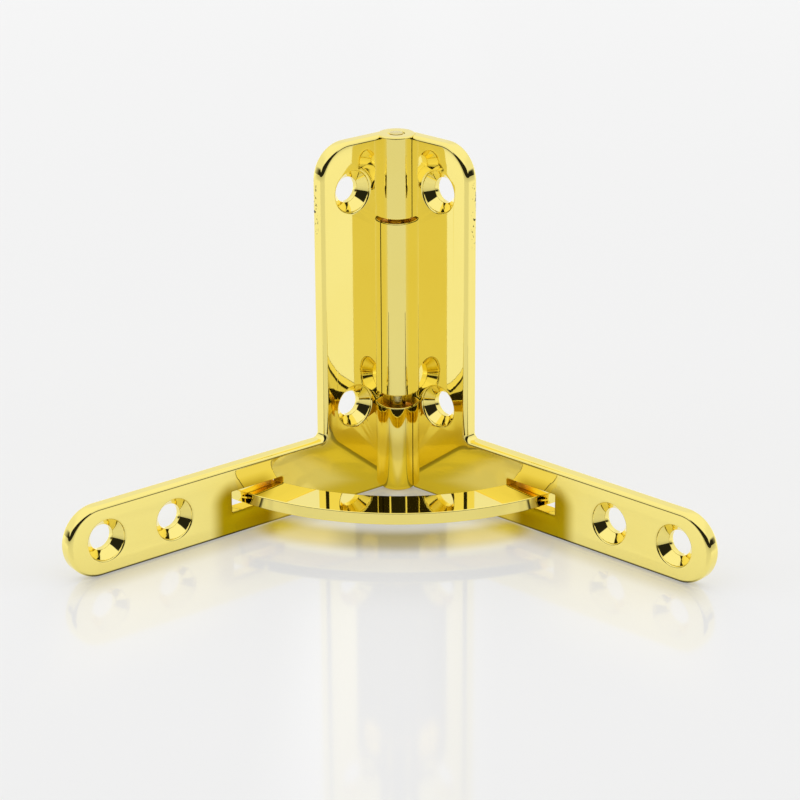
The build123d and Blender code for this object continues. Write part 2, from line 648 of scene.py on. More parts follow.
        # Rougher raw metal in the joints and on the slots' walls; its amber colour is painted shade of these
        # recesses.
        joints = sheet.times(
            sheet.plus(*(sheet.within(place.z, span, spots.joint_margin) for span in spots.joint_heights)),
            sheet.fall(sheet.length(place.aside, place.y), *spots.joint_radius),
        )
        slots = sheet.times(
            sheet.within(depth, spots.slot_depths, spots.depth_margin),
            sheet.within(along, spots.slot_lengths, spots.slot_margin),
            sheet.within(place.z, spots.slot_heights, spots.slot_margin),
            sheet.fall(along, *spots.slot_polish),
        )
        for name, mask in {"Pits": pits, "Patches": reflected_shade, "Raw": sheet.plus(joints, slots)}.items():
            sheet.tree.links.new(sheet.times(mask, given["Amount"]), result.inputs[name])
        return tree


@dataclass(frozen=True)
class MetalFinish:
    """A plated finish.

    Attributes:
        name: The material's name.
        colour: The colour of a straight reflection.
        deep_colour: The colour where the plating is thicker.
        clear_roughness: Roughness of the clearest polish.
        hazy_roughness: Roughness where the polish is hazy.
        wave_height: Height of the slow ripple, in millimetres.
        grain_height: Height of the fine grain, in millimetres.
        mark_and_shade_amount: How strongly the pits, the painted shade and the raw metal show.
        reflected_shade_colour: Colour of the painted reflection of shade outside the slots.
        raw_colour: Colour of the raw metal inside the joints and slots, a deeper amber that paints their
            shade.
        pit_colour: Colour of the pits.
        raw_roughness: Roughness of the raw metal.
    """

    name: str
    colour: Colour
    deep_colour: Colour
    clear_roughness: float
    hazy_roughness: float
    wave_height: float
    grain_height: float
    mark_and_shade_amount: float
    # Painted reflection of shade outside the slots.
    reflected_shade_colour: Colour = (0.46, 0.325, 0.002, 1.0)
    # Raw metal in the joints and slots; its deeper amber is painted shade and repeated reflection.
    raw_colour: Colour = (0.95, 0.66, 0.04, 1.0)
    pit_colour: Colour = (0.08, 0.06, 0.02, 1.0)
    raw_roughness: float = 0.3

    def make(self, effects: SharedEffects) -> Material:
        """Build the material.

        Args:
            effects: The shared node groups.

        Returns:
            The material, ready to be given to a mesh.
        """
        material = bpy.data.materials.new(self.name)
        material.use_nodes = True
        sheet = NodeSheet(material.node_tree)
        shader = material.node_tree.nodes["Principled BSDF"]
        clouds = sheet.add("ShaderNodeGroup", {
            "Colour": self.colour, "Deep Colour": self.deep_colour,
            "Clear Roughness": self.clear_roughness, "Hazy Roughness": self.hazy_roughness,
        }, node_tree=effects.tint)
        ripple = sheet.add(
            "ShaderNodeGroup", {"Wave Height": self.wave_height, "Grain Height": self.grain_height},
            node_tree=effects.ripple,
        )
        marks_and_shade = sheet.add("ShaderNodeGroup", {"Amount": self.mark_and_shade_amount}, node_tree=effects.marks_and_shade).outputs
        colour = clouds.outputs["Colour"]
        for mask, shade in {
            "Patches": self.reflected_shade_colour, "Raw": self.raw_colour, "Pits": self.pit_colour,
        }.items():
            colour = sheet.blend(marks_and_shade[mask], colour, shade)
        roughness = sheet.add(
            "ShaderNodeMix", {0: marks_and_shade["Raw"], 2: clouds.outputs["Roughness"], 3: self.raw_roughness}
        ).outputs[0]
        shader.inputs["Metallic"].default_value = 1.0
        for feed, socket in (
            (colour, "Base Color"), (roughness, "Roughness"), (ripple.outputs["Normal"], "Normal"),
        ):
            sheet.tree.links.new(feed, shader.inputs[socket])
        return material


POLISHED_GOLD = MetalFinish(
    name="polished_gold", colour=(0.985, 0.845, 0.262, 1.0), deep_colour=(0.98, 0.83, 0.245, 1.0),
    clear_roughness=0.025, hazy_roughness=0.045, wave_height=0.005, grain_height=0.0002, mark_and_shade_amount=1.0,
)
GOLD_PIN = MetalFinish(
    name="gold_pin", colour=(0.86, 0.74, 0.30, 1.0), deep_colour=(0.78, 0.66, 0.25, 1.0),
    clear_roughness=0.12, hazy_roughness=0.25, wave_height=0.002, grain_height=0.002, mark_and_shade_amount=0.0,
)


@dataclass
class Knuckles:
    """The three lengths of barrel on the pin."""

    sizes: HingeSizes
    joint_rounding: float = 0.15
    end_rounding: float = 0.2
    mouth_rounding: float = 0.08
    bore_clearance: float = 0.04
    rounding_steps: int = 8

    def recipe(self) -> GeometryRecipe:
        """Sweep a section with rounded corners once round the pin.

        Returns:
            The sweep, with the barrel's sizes as its inputs.
        """
        made = GeometryRecipe(
            "knuckle",
            {"Outer Radius": float, "Bore Radius": float, "Bottom": float, "Top": float, "Lower Rim": float,
             "Upper Rim": float, "Bore Mouth": float, "Facets": int, "Rounding Steps": int},
        )
        sheet, given = made.sheet, made.given
        section = sheet.add("GeometryNodeCurvePrimitiveQuadrilateral", {
            "Width": sheet.maths("SUBTRACT", given["Outer Radius"], given["Bore Radius"]),
            "Height": sheet.maths("SUBTRACT", given["Top"], given["Bottom"]),
        })
        rims = sheet.add("GeometryNodeIndexSwitch", None, data_type="FLOAT")
        rims.index_switch_items.new()
        rims.index_switch_items.new()
        index = sheet.add("GeometryNodeInputIndex").outputs[0]
        feeds = (given["Lower Rim"], given["Bore Mouth"], given["Bore Mouth"], given["Upper Rim"])
        sheet.tree.links.new(index, rims.inputs[0])
        for slot, feed in enumerate(feeds):
            sheet.tree.links.new(feed, rims.inputs[slot + 1])
        rounded = sheet.add("GeometryNodeFilletCurve", {
            "Curve": section.outputs[0], "Count": given["Rounding Steps"], "Radius": rims.outputs[0],
        }, mode="POLY")
        path = sheet.add("GeometryNodeCurvePrimitiveCircle", {
            "Resolution": given["Facets"],
            "Radius": sheet.times(sheet.plus(given["Outer Radius"], given["Bore Radius"]), 0.5),
        })
        barrel = sheet.add("GeometryNodeCurveToMesh", {
            "Curve": path.outputs[0], "Profile Curve": rounded.outputs[0],
        })
        middle = sheet.add("ShaderNodeCombineXYZ", {
            2: sheet.times(sheet.plus(given["Top"], given["Bottom"]), 0.5),
        })
        lifted = sheet.add("GeometryNodeTransform", {
            "Geometry": barrel.outputs[0], "Translation": middle.outputs[0],
        })
        made.close(lifted.outputs[0])
        return made

    def build(self, recipe: GeometryRecipe, name: str, bottom: float, top: float,
              finish: Material) -> Object:
        """Make one length of barrel.

        Args:
            recipe: The sweep.
            name: The object's name.
            bottom: Height of its lower end, in millimetres.
            top: Height of its upper end, in millimetres.
            finish: Its material.

        Returns:
            The barrel as a plain mesh.
        """
        sizes = self.sizes
        return recipe.bake(
            placed(name, bpy.data.meshes.new(name)), outer_radius=sizes.knuckle_radius,
            bore_radius=sizes.pin_radius + self.bore_clearance, bottom=bottom, top=top,
            lower_rim=sizes.edge_rounding if bottom == 0 else self.joint_rounding,
            upper_rim=self.end_rounding if top == sizes.plate_height else self.joint_rounding,
            bore_mouth=self.mouth_rounding, facets=sizes.barrel_facets, rounding_steps=self.rounding_steps,
            finish=finish,
        )


@dataclass
class ScrewHoles:
    """Countersunk holes, cut in rows of equal spacing."""

    sizes: HingeSizes
    hole_radius: float = 1.42
    countersink_radius: float = 2.3
    lip_rounding: float = 0.2
    step_depth: float = 0.24
    throat_rounding: float = 0.12
    cone_angle: float = 45.0
    over: float = 0.6

    def cutter(self) -> Object:
        """Turn the cutter: a countersink with a fine step at its rim, a hole and a softened far edge.

        Returns:
            The cutter, with the inner face at height zero.
        """
        throat = self.countersink_radius - self.hole_radius + self.step_depth
        lip = self.countersink_radius + self.lip_rounding
        profile = [(0.0, -self.over), (lip, -self.over)]
        profile += [
            (self.countersink_radius + inset, depth) for inset, depth in quarter_round(self.lip_rounding, 6)
        ]
        profile.append((self.countersink_radius, self.step_depth))
        soft = self.throat_rounding * math.tan(math.radians(self.cone_angle / 2))
        for k in range(5):
            turn = math.radians(self.cone_angle + (90 - self.cone_angle) * k / 4)
            profile.append((
                self.hole_radius + self.throat_rounding * (1 - math.sin(turn)),
                throat + soft - self.throat_rounding * math.cos(turn),
            ))
        back = self.sizes.leaf_thickness
        for inset, depth in reversed(quarter_round(self.throat_rounding, 4)):
            profile.append((self.hole_radius + inset, back - depth))
        far = self.hole_radius + self.throat_rounding
        profile += [(far, back + self.over), (0.0, back + self.over)]
        return Shell().turned(profile, 72).finished("screw_cutter")


@dataclass
class Leaf:
    """One L-shaped casting: plate, arm, its own knuckles, screw holes and the stay's slot."""

    sizes: HingeSizes
    side: Side
    node: str
    body: str
    other_spans: list[tuple[float, float]]
    plate_width: float = 10.1
    plate_corner: float = 3.9
    arm_length: float = 44.0
    inner_corner: float = 0.6
    side_clearance: float = 0.06
    end_clearance: float = 0.2
    crown_width: float = 1.7
    crown_drop: float = 0.03
    arm_screw: float = 30.6
    arm_screw_spacing: float = 8.7
    plate_screw: float = 5.9
    plate_screw_height: float = 11.0
    plate_screw_spacing: float = 24.9
    slot_inner: float = 16.09
    slot_outer: float = 22.95
    slot_bottom: float = 2.7
    slot_top: float = 5.1
    slot_corner: float = 0.12
    slot_edge: float = 0.12
    buffed_width: float = 1.8
    buffed_depth: float = 0.1

    def _place(self, points: list[Vector], depth: float) -> list[Vector]:
        """Lay outline points on the leaf at a depth."""
        return [self.sizes.on_leaf(self.side, point.x, point.y, depth) for point in points]

    def _ring(self, inset: float, depth: float) -> list[Vector]:
        """One ring of the casting's skin, whose two root points stay at the pin."""
        first, *middle, last = self.outline().inset(inset)
        return self._place([Vector((0.0, first.y)), *middle, Vector((0.0, last.y))], depth)

    def outline(self) -> Outline:
        """The leaf's outline.

        Returns:
            The outline, with its root on the pin's axis.
        """
        sizes, middle = self.sizes, self.sizes.arm_height / 2
        return (
            Outline()
            .corner(0.0, 0.0)
            .arc(self.arm_length - middle, middle, middle, -90, 90, 56)
            .arc(self.plate_width + self.inner_corner, sizes.arm_height + self.inner_corner,
                 self.inner_corner, -90, -180, 10)
            .arc(self.plate_width - self.plate_corner, sizes.plate_height - self.plate_corner,
                 self.plate_corner, 0, 90, 28)
            .corner(0.0, sizes.plate_height)
        )

    def plate(self) -> Object:
        """The casting with its rounded edges and the slight crown of its buffed faces.

        Returns:
            The casting before anything is cut.
        """
        radius, thickness, steps = self.sizes.edge_rounding, self.sizes.leaf_thickness, 6
        crown = [
            (radius + self.crown_width * (1 - k / steps), self.crown_drop * (k / steps) ** 2)
            for k in range(steps)
        ]
        edge = [(inset, self.crown_drop + depth) for inset, depth in quarter_round(radius, 10)]
        section = crown + edge
        rings = [self._ring(inset, depth) for inset, depth in section]
        rings += [self._ring(inset, thickness - depth) for inset, depth in reversed(section)]
        return Shell().stitch(rings).finished(f"{self.node}_plate")

    def slot_cutter(self) -> Object:
        """The slot's cutter: buffing has worn the inner face down round it and softened both edges.

        Returns:
            The cutter, in its place on the leaf.
        """
        across, upward, corner = self.slot_outer, self.slot_top, self.slot_corner
        outline = (
            Outline()
            .arc(self.slot_inner + corner, self.slot_bottom + corner, corner, 180, 270, 8)
            .arc(across - corner, self.slot_bottom + corner, corner, 270, 360, 8)
            .arc(across - corner, upward - corner, corner, 0, 90, 8)
            .arc(self.slot_inner + corner, upward - corner, corner, 90, 180, 8)
        )
        flare, thickness = quarter_round(self.slot_edge, 5), self.sizes.leaf_thickness
        width, drop, steps = self.buffed_width, self.buffed_depth, 10
        rings = [self._place(outline.inset(-width), -thickness)]
        for k in range(steps):
            share = k / steps
            rings.append(self._place(outline.inset(-width * (1 - share)), drop * share * share))
        rings += [self._place(outline.inset(-inset), drop + depth) for inset, depth in flare]
        rings += [self._place(outline.inset(-inset), thickness - depth) for inset, depth in reversed(flare)]
        rings.append(self._place(outline.inset(-self.slot_edge), 2 * thickness))
        return Shell().stitch(rings).finished(f"{self.node}_slot_cutter")

    def clearance_cutter(self) -> Object:
        """Room for the other leaf's knuckles, with some to spare round them and at their ends.

        Returns:
            The cutter, one shell for each knuckle.
        """
        radius, room = self.sizes.knuckle_radius + self.side_clearance, Shell()
        for bottom, top in self.other_spans:
            low, high = bottom - self.end_clearance, top + self.end_clearance
            room.turned([(0, low), (radius, low), (radius, high), (0, high)], self.sizes.barrel_facets)
        return room.finished(f"{self.node}_clearance_cutter")

    @staticmethod
    def recipe() -> GeometryRecipe:
        """Cut the other leaf's room, add the knuckles, then repeat the screw cutter along two rows.

        Returns:
            The recipe, with the cutters and the rows' places as its inputs.
        """
        made = GeometryRecipe("leaf", {
            **dict.fromkeys(
                ("Clearances", "Lower Knuckle", "Upper Knuckle", "Bore", "Slot", "Screw"), Object
            ),
            **dict.fromkeys(("Screw Turn", "Arm Start", "Arm Step", "Plate Start", "Plate Step"), Vector),
            "Screws In Row": int,
        })
        sheet, given = made.sheet, made.given

        def shape(name: str) -> Socket:
            """The mesh of an object input."""
            return sheet.add("GeometryNodeObjectInfo", {"Object": given[name]}).outputs["Geometry"]

        def join(operation: str, first: object, second: list) -> Socket:
            """Join or cut closed meshes.

            Args:
                operation: The boolean's name.
                first: The mesh that is added to or cut.
                second: What is added to it or cut from it.

            Returns:
                The result.
            """
            adds = operation == "UNION"
            wires = {"Mesh 2": [first, *second]} if adds else {"Mesh 1": first, "Mesh 2": second}
            settings = {"operation": operation, "solver": "MANIFOLD"}
            return sheet.add("GeometryNodeMeshBoolean", wires, **settings).outputs["Mesh"]

        turn = sheet.add("FunctionNodeEulerToRotation", {"Euler": given["Screw Turn"]}).outputs[0]
        rows = []
        for row in ("Arm", "Plate"):
            line = sheet.add("GeometryNodeMeshLine", {
                "Count": given["Screws In Row"], "Start Location": given[f"{row} Start"],
                "Offset": given[f"{row} Step"],
            }, mode="OFFSET")
            screws = sheet.add("GeometryNodeInstanceOnPoints", {
                "Points": line.outputs[0], "Instance": shape("Screw"), "Rotation": turn,
            })
            rows.append(sheet.add("GeometryNodeRealizeInstances", {"Geometry": screws.outputs[0]}).outputs[0])
        cut_back = join("DIFFERENCE", given["Geometry"], [shape("Clearances")])
        whole = join("UNION", cut_back, [shape("Lower Knuckle"), shape("Upper Knuckle")])
        made.close(join("DIFFERENCE", whole, [shape("Bore"), shape("Slot"), *rows]))
        return made

    def build(self, recipe: GeometryRecipe, knuckles: list[Object], bore: Object,
              screw: Object, finish: Material) -> Object:
        """Assemble and finish the leaf.

        Args:
            recipe: The leaf's Geometry Nodes.
            knuckles: Its own one or two lengths of barrel.
            bore: The cutter for the pin's bore.
            screw: The cutter for one screw hole.
            finish: The plating.

        Returns:
            The finished leaf, riding on its body in place of its plain solid.
        """
        sizes, side = self.sizes, self.side
        plate = self.plate()
        tools = [self.slot_cutter(), self.clearance_cutter()]
        turn = sizes.into_leaf(side).to_track_quat("Z", "Y").to_euler()
        arm = sizes.on_leaf(side, self.arm_screw, sizes.arm_height / 2)
        arm_next = sizes.on_leaf(side, self.arm_screw + self.arm_screw_spacing, sizes.arm_height / 2)
        low = sizes.on_leaf(side, self.plate_screw, self.plate_screw_height)
        recipe.bake(
            plate, clearances=tools[1], lower_knuckle=knuckles[0], upper_knuckle=knuckles[-1], bore=bore,
            slot=tools[0], screw=screw, screw_turn=tuple(turn), arm_start=tuple(arm),
            arm_step=tuple(arm_next - arm), plate_start=tuple(low),
            plate_step=(0.0, 0.0, self.plate_screw_spacing), screws_in_row=2, finish=finish,
        )
        polish(plate)
        plate.name = plate.data.name = f"{self.node}_polished"
        discard(*tools)
        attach(plate, self.body)
        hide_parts(self.node)
        return plate


@dataclass
class Stay:
    """The loose curved stay, with a hook at each end behind the arms."""

    sizes: HingeSizes
    reach: float = 18.0
    width: float = 4.2
    thickness: float = 1.4
    centre_behind: float = 12.5
    front_level: float = 2.73
    droop: float = 4.3
    hook_depth: float = 1.5
    hook_length: float = 1.9
    hook_corner: float = 0.5
    stop_gap: float = 0.2
    edge_rounding: float = 0.12

    def _meeting(self, radius: float, depth: float) -> Vector:
        """Where a circle about the stay's centre meets a line behind the right arm's face.

        Args:
            radius: The circle's radius.
            depth: The line's depth behind the face.

        Returns:
            The place, about the stay's centre.
        """
        half = self.sizes.half_angle
        into = Vector((math.cos(half), math.sin(half)))
        along = Vector((math.sin(half), -math.cos(half)))
        base = into * (self.sizes.face_offset + depth) - Vector((0.0, self.centre_behind))
        back = base.dot(along)
        run = -back + math.sqrt(back * back - base.dot(base) + radius * radius)
        return base + along * run

    @staticmethod
    def _angle(point: Vector) -> float:
        """A point's angle about the stay's centre, in degrees."""
        return math.degrees(math.atan2(point.y, point.x))

    def outline(self) -> Outline:
        """The stay seen from above.

        Returns:
            The outline, about the stay's own centre.
        """
        outer = self.reach + self.centre_behind
        inner = outer - self.width
        face = self.sizes.leaf_thickness + self.stop_gap
        end = face + self.hook_length
        right = [
            self._meeting(outer, end), self._meeting(inner - self.hook_depth, end),
            self._meeting(inner - self.hook_depth, face), self._meeting(inner, face),
        ]
        rounded = Outline()
        corners = [*right, *[Vector((-point.x, point.y)) for point in reversed(right)]]
        soft = [self.hook_corner] * 3 + [0.0, 0.0] + [self.hook_corner] * 3
        for k, here in enumerate(corners):
            if soft[k] == 0.0:
                rounded.points.append(here)
            else:
                self._round(rounded, corners[k - 1], here, corners[(k + 1) % len(corners)], soft[k])
            if k == len(right) - 1:
                start = self._angle(here)
                rounded.points += Outline().arc(0, 0, inner, start, -180 - start, 72).points[1:-1]
        first, last = self._angle(rounded.points[-1]), self._angle(rounded.points[0])
        rounded.points += Outline().arc(0, 0, outer, first, last, 80).points[1:-1]
        return rounded

    @staticmethod
    def _round(outline: Outline, before: Vector, here: Vector, after: Vector, radius: float) -> None:
        """Add a rounded corner.

        Args:
            outline: Where the points go.
            before: The corner before it.
            here: The corner.
            after: The corner after it.
            radius: The rounding's radius.
        """
        into, out = (before - here).normalized(), (after - here).normalized()
        opening = into.angle(out)
        run = radius / math.tan(opening / 2)
        centre = here + (into + out).normalized() * (radius / math.sin(opening / 2))
        start, end = here + into * run - centre, here + out * run - centre
        sweep = start.angle_signed(end)
        for k in range(9):
            spoke = start.copy()
            spoke.rotate(Matrix.Rotation(-sweep * k / 8, 2))
            outline.points.append(centre + spoke)

    def _tipped(self, point: Vector, height: float) -> Vector:
        """Lay a point of the outline on the stay, whose front edge droops to the slots' floors.

        Args:
            point: The point, about the stay's own centre.
            height: Its height above the stay's underside.

        Returns:
            The place in millimetres.
        """
        tip, back = math.radians(self.droop), point.y + self.centre_behind
        level = self.front_level + (self.reach + back) * math.sin(tip) + height * math.cos(tip)
        return Vector((point.x, back * math.cos(tip) - height * math.sin(tip), level))

    def build(self, finish: Material) -> Object:
        """Make the stay.

        Args:
            finish: The plating.

        Returns:
            The stay, riding on its body in place of its plain solid.
        """
        outline = self.outline()
        after = outline.points[1:] + outline.points[:1]
        if sum(here.x * there.y - there.x * here.y for here, there in zip(outline.points, after)) < 0:
            outline.points.reverse()
        rounding = quarter_round(self.edge_rounding, 4)
        levels = rounding + [(inset, self.thickness - depth) for inset, depth in reversed(rounding)]
        rings = [[self._tipped(point, height) for point in outline.inset(inset)] for inset, height in levels]
        stay = Shell().stitch(rings).finished("stay_arc_polished")
        stay.data.materials.append(finish)
        polish(stay)
        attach(stay, "stay_body")
        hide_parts("stay_arc")
        return stay


@dataclass
class Pin:
    """The plain pin, which shows only in the barrel's lower joint and as a small button at its top end."""

    sizes: HingeSizes
    end_bevel: float = 0.06
    neck: float = 0.16
    button_height: float = 0.24
    dome: float = 0.04

    def build(self, finish: Material) -> Object:
        """Turn the pin with a raised, slightly domed button at each end.

        Args:
            finish: The pin's plating.

        Returns:
            The pin, riding on the left leaf's body in place of its plain solid.
        """
        radius, top = self.sizes.pin_radius, self.sizes.pin_top
        button = radius - self.neck
        shoulder = button - self.end_bevel
        profile = [(shoulder * share / 6, self.dome * (share / 6) ** 2) for share in range(7)]
        profile += [
            (button, self.dome + self.end_bevel), (button, self.button_height), (radius, self.button_height),
        ]
        profile += [(across, top - height) for across, height in reversed(profile)]
        pin = Shell().turned(profile, 72).finished("hinge_pin_turned")
        pin.data.materials.append(finish)
        polish(pin, 40.0)
        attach(pin, "left_leaf_body")
        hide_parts("hinge_pin")
        return pin


@dataclass(frozen=True)
class TableFinish:
    """The glossy pale table. The metal sees it more evenly lit than the camera does.

    Lengths are in metres. A pair is where a soft edge begins and ends, or the values at its two ends.
    Light and shade round the hinge are painted in the table's colour and glow. The corner is painted golden
    shade between the plates' feet, and the contact is a painted shadow, a dark line under the arms. The pool
    is painted golden light behind the stay, arm and foot are painted golden light and shade before the arms,
    and the lift is a painted brighter middle that lightens the hinge's shadow.
    """

    roughness: float = 0.07
    # The camera's table colour, darker towards the back: a painted fall of light.
    albedo: Span = (0.59, 0.54)
    albedo_range: Span = (-0.08, 0.25)
    paleness: float = 0.325
    metal_albedo: Colour = (0.42, 0.42, 0.42, 1.0)
    metal_paleness: float = 0.49
    # Painted golden shade between the plates' feet, as the metal sees the table.
    corner_shade_colour: Colour = (0.6, 0.52, 0.12, 1.0)
    corner_light: Colour = (1.0, 0.85, 0.12, 1.0)
    corner_paleness: float = 0.29
    corner_reach: Span = (0.013, 0.024)
    corner_arm: Span = (0.002, 0.006)
    corner_weakest: float = 0.4
    # A painted shadow: the dark line under the arms, as the metal sees the table.
    contact: Span = (0.5, 0.92)
    contact_change: Span = (0.012, 0.018)
    contact_back: Span = (-0.0012, -0.0009)
    contact_front: Span = (-0.0003, 0.0001)
    contact_tip: Span = (0.031, 0.033)
    # Colour of the painted golden light that the hinge throws on the table.
    glow: tuple[float, float, float] = (1.0, 0.8, 0.25)
    # Painted golden light behind the stay, where the white glow is dimmed as painted shade.
    pool_centre: float = 0.0125
    pool_radius: float = 0.0285
    pool_edge: Span = (0.0005, 0.0045)
    pool_back: Span = (-0.008, -0.003)
    pool_tip: Span = (0.012, 0.017)
    pool_strength: Span = (0.16, 0.42)
    pool_change: Span = (0.004, 0.008)
    pool_white: float = 0.1
    # Painted golden light before the arms.
    arm_strength: float = 0.09
    arm_start: Span = (-0.001, 0.0)
    arm_reach: Span = (0.0, 0.025)
    arm_inner: Span = (0.012, 0.02)
    arm_outer: Span = (0.026, 0.036)
    # Painted golden light and painted shade before the arms' feet.
    foot_strength: float = 0.08
    foot_shade: float = 0.17
    foot_start: Span = (-0.0006, -0.0002)
    foot_reach: Span = (0.0008, 0.0036)
    foot_tip: Span = (0.03, 0.034)
    # A painted brighter middle, which lightens the hinge's shadow on the table.
    lift_middle: Span = (0.003, 0.012)
    lift_sides: float = 0.15
    lift: Span = (0.012, 0.085)
    lift_range: Span = (-0.11, -0.035)
    lift_back: Span = (-0.036, -0.022)
    lift_behind: float = 0.1

    def _seen_in_metal(self, sheet: NodeSheet, place: LeafPlace, before_arm: Socket) -> tuple[Socket, Socket]:
        """The table's colour and light in the metal, with painted shade between the feet and under the arms.

        Args:
            sheet: Where the nodes go.
            place: The place on the table.
            before_arm: The distance before the arms' faces.

        Returns:
            The colour and the light.
        """
        # Painted golden shade between the plates' feet.
        corner = sheet.times(
            sheet.fall(sheet.length(place.aside, place.y), *self.corner_reach),
            sheet.ramp(before_arm, *self.corner_arm, 1.0, self.corner_weakest),
        )
        # Painted shadow under the arms.
        contact = sheet.times(
            sheet.ramp(before_arm, *self.contact_back), sheet.fall(before_arm, *self.contact_front),
            sheet.ramp(place.aside, *self.contact_change, *self.contact),
            sheet.fall(place.aside, *self.contact_tip),
        )
        level = sheet.ramp(corner, 0.0, 1.0, self.metal_paleness, self.corner_paleness)
        light = sheet.add("ShaderNodeVectorMath", {
            0: sheet.blend(corner, (1.0, 1.0, 1.0, 1.0), self.corner_light), 3: level,
        }, operation="SCALE").outputs[0]
        colour = sheet.blend(corner, self.metal_albedo, self.corner_shade_colour)
        black = (0.0, 0.0, 0.0, 1.0)
        return sheet.blend(contact, colour, black), sheet.blend(contact, light, black)

    def _seen_by_camera(
        self, sheet: NodeSheet, place: LeafPlace, before_arm: Socket
    ) -> tuple[Socket, Socket]:
        """The table's colour and light as the camera sees them, with painted golden light and shade.

        Args:
            sheet: Where the nodes go.
            place: The place on the table.
            before_arm: The distance before the arms' faces.

        Returns:
            The colour and the light.
        """
        aside, y = place.aside, place.y
        off_ring = sheet.maths("ABSOLUTE", sheet.maths(
            "SUBTRACT", sheet.length(aside, sheet.maths("SUBTRACT", y, self.pool_centre)), self.pool_radius
        ))
        # Painted golden light behind the stay.
        pool = sheet.times(
            sheet.fall(off_ring, *self.pool_edge), sheet.fall(y, *self.pool_back),
            sheet.fall(aside, *self.pool_tip),
        )
        # Painted golden light before the arms.
        arm = sheet.times(
            sheet.fall(before_arm, *self.arm_reach), sheet.ramp(before_arm, *self.arm_start),
            sheet.ramp(aside, *self.arm_inner), sheet.fall(aside, *self.arm_outer),
        )
        # Painted golden light and shade before the arms' feet.
        foot = sheet.times(
            sheet.fall(before_arm, *self.foot_reach), sheet.ramp(before_arm, *self.foot_start),
            sheet.fall(aside, *self.foot_tip),
        )
        glow = sheet.plus(
            sheet.times(pool, sheet.ramp(aside, *self.pool_change, *self.pool_strength)),
            sheet.times(arm, self.arm_strength), sheet.times(foot, self.foot_strength),
        )
        golden = sheet.add("ShaderNodeVectorMath", {0: self.glow, 3: glow}, operation="SCALE").outputs[0]
        # Painted lift of the middle, which lightens the hinge's shadow.
        lift = sheet.times(
            sheet.ramp(aside, *self.lift_middle, 1.0, self.lift_sides),
            sheet.ramp(y, *self.lift_range, *self.lift),
            sheet.ramp(y, *self.lift_back, 1.0, self.lift_behind),
        )
        # Even white glow, dimmed as painted shade in the pool and before the feet, and raised by the painted
        # lift.
        plain = sheet.plus(
            sheet.ramp(pool, 0.0, 1.0, self.paleness, self.paleness * self.pool_white), lift,
            sheet.times(foot, -self.foot_shade),
        )
        # The camera's table colour darkens towards the back, a painted fall of light.
        seen = sheet.ramp(y, *self.albedo_range, *self.albedo)
        grey, white = (
            sheet.add("ShaderNodeCombineColor", dict.fromkeys(range(3), value)).outputs[0]
            for value in (seen, plain)
        )
        light = sheet.add("ShaderNodeVectorMath", {0: golden, 1: white}, operation="ADD").outputs[0]
        return grey, light

    def make(self) -> Material:
        """Build the material.

        Returns:
            The material, ready for the table.
        """
        material = bpy.data.materials.new("pale_table")
        material.use_nodes = True
        shader = material.node_tree.nodes["Principled BSDF"]
        shader.inputs["Roughness"].default_value = self.roughness
        shader.inputs["Emission Strength"].default_value = 1.0
        sheet = NodeSheet(material.node_tree)
        ray = sheet.add("ShaderNodeLightPath").outputs
        place = LeafPlace(sheet)
        before_arm = sheet.times(-1.0, place.into())
        colour, light = self._seen_in_metal(sheet, place, before_arm)
        reflected = sheet.maths("MAXIMUM", ray["Is Glossy Ray"], ray["Is Transmission Ray"])
        light = sheet.add("ShaderNodeVectorMath", {0: light, 3: reflected}, operation="SCALE").outputs[0]
        grey, camera_light = self._seen_by_camera(sheet, place, before_arm)
        for in_metal, direct, socket in (
            (colour, grey, "Base Color"), (light, camera_light, "Emission Color"),
        ):
            seen = sheet.blend(ray["Is Camera Ray"], in_metal, direct)
            sheet.tree.links.new(seen, shader.inputs[socket])
        return material


